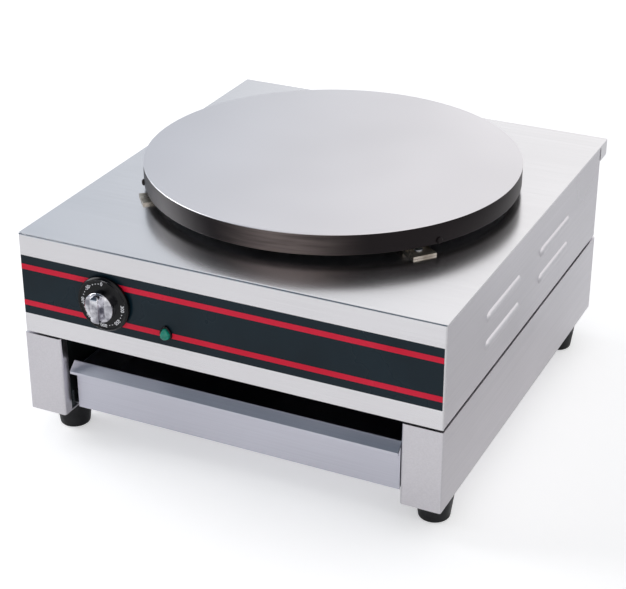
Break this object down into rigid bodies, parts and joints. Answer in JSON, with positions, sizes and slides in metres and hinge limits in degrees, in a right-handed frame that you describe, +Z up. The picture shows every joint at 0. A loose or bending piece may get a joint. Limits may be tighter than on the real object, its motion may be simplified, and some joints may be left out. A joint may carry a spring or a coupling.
{
  "type": "electric crepe maker",
  "caption": "Countertop electric crepe maker with a round cast iron griddle plate, a steel casing with a thermostat dial and lamp, and a pull-out drip drawer on rubber feet.",
  "frame": {"origin": "on the counter under the middle of the whole outline, knob included", "axes": "+X to the user's right, +Y to the back, away from the dial and drawer, +Z up"},
  "size_m": [0.454, 0.512, 0.2618],
  "materials": {
    "satin_steel": "fine brushed satin",
    "drawer_steel": "dull satin",
    "zinc_steel": "bright zinc plated",
    "bracket_steel": "heat-tinted steel",
    "griddle_iron": "ground on top, dark on the rim",
    "element_sheath": "oxidised nickel alloy",
    "chrome": "polished",
    "slate_film": "satin printed film",
    "red_film": "satin printed film",
    "black_plastic": "moulded",
    "green_lens": "moulded lens",
    "ceramic_white": "unglazed steatite",
    "ceramic_fibre": "felted fibre",
    "copper": "drawn copper",
    "brass": "turned",
    "wire_sleeve": "woven silicone sleeve",
    "foot_rubber": "moulded"
  },
  "bodies": {
    "casing": {"top_cover": "satin_steel", "left_side_panel": "satin_steel", "right_side_panel": "satin_steel", "rear_panel": "satin_steel", "casing_floor": "satin_steel", "control_decal": "slate_film", "red_stripes": "red_film", "thermostat_body": "ceramic_white", "thermostat_screws": "zinc_steel", "sensing_bulb": "copper", "lamp_bezel": "black_plastic", "lamp_lens": "green_lens", "lamp_body": "black_plastic", "lamp_nut": "black_plastic", "griddle_plate": "griddle_iron", "outer_heating_element": "element_sheath", "inner_heating_element": "element_sheath", "element_clamp_disc": "zinc_steel", "insulation_pad": "ceramic_fibre", "heat_shield_pan": "zinc_steel", "clamp_stud": "zinc_steel", "clamp_nut": "zinc_steel", "bracket_screws": "zinc_steel", "bracket_nuts": "zinc_steel", "rim_screws": "zinc_steel", "cable_gland": "black_plastic", "gland_nut": "black_plastic", "bonding_stud": "brass", "bonding_nuts": "brass", "rear_panel_screws": "zinc_steel", "terminal_block": "ceramic_white", "internal_wires": "wire_sleeve", "base_left_side": "satin_steel", "base_right_side": "satin_steel", "base_left_inner_wall": "satin_steel", "base_right_inner_wall": "satin_steel", "drawer_runner_left": "zinc_steel", "drawer_runner_right": "zinc_steel", "base_rear_panel": "satin_steel", "foot_screws": "zinc_steel", "foot_nuts": "zinc_steel", "floor_bolts": "zinc_steel", "floor_nuts": "zinc_steel", "plate_bracket_rear_right": "bracket_steel", "plate_bracket_rear_left": "bracket_steel", "plate_bracket_front_left": "bracket_steel", "plate_bracket_front_right": "bracket_steel", "foot_front_left": "foot_rubber", "foot_rear_left": "foot_rubber", "foot_front_right": "foot_rubber", "foot_rear_right": "foot_rubber"},
    "drawer": {"drawer_tray": "drawer_steel", "drawer_front": "drawer_steel"},
    "knob": {"knob_skirt": "black_plastic", "knob_cap": "chrome", "thermostat_shaft": "satin_steel"}
  },
  "joints": [
    {"name": "drawer_slide", "type": "slide", "parent": "casing", "child": "drawer", "axis": [0, -1, 0], "range_m": [0, 0.33]},
    {"name": "knob_turn", "type": "hinge", "parent": "casing", "child": "knob", "pos_m": [-0.128, -0.2345, 0.1766], "axis": [0, 1, 0], "range_deg": [0, 270]}
  ]
}
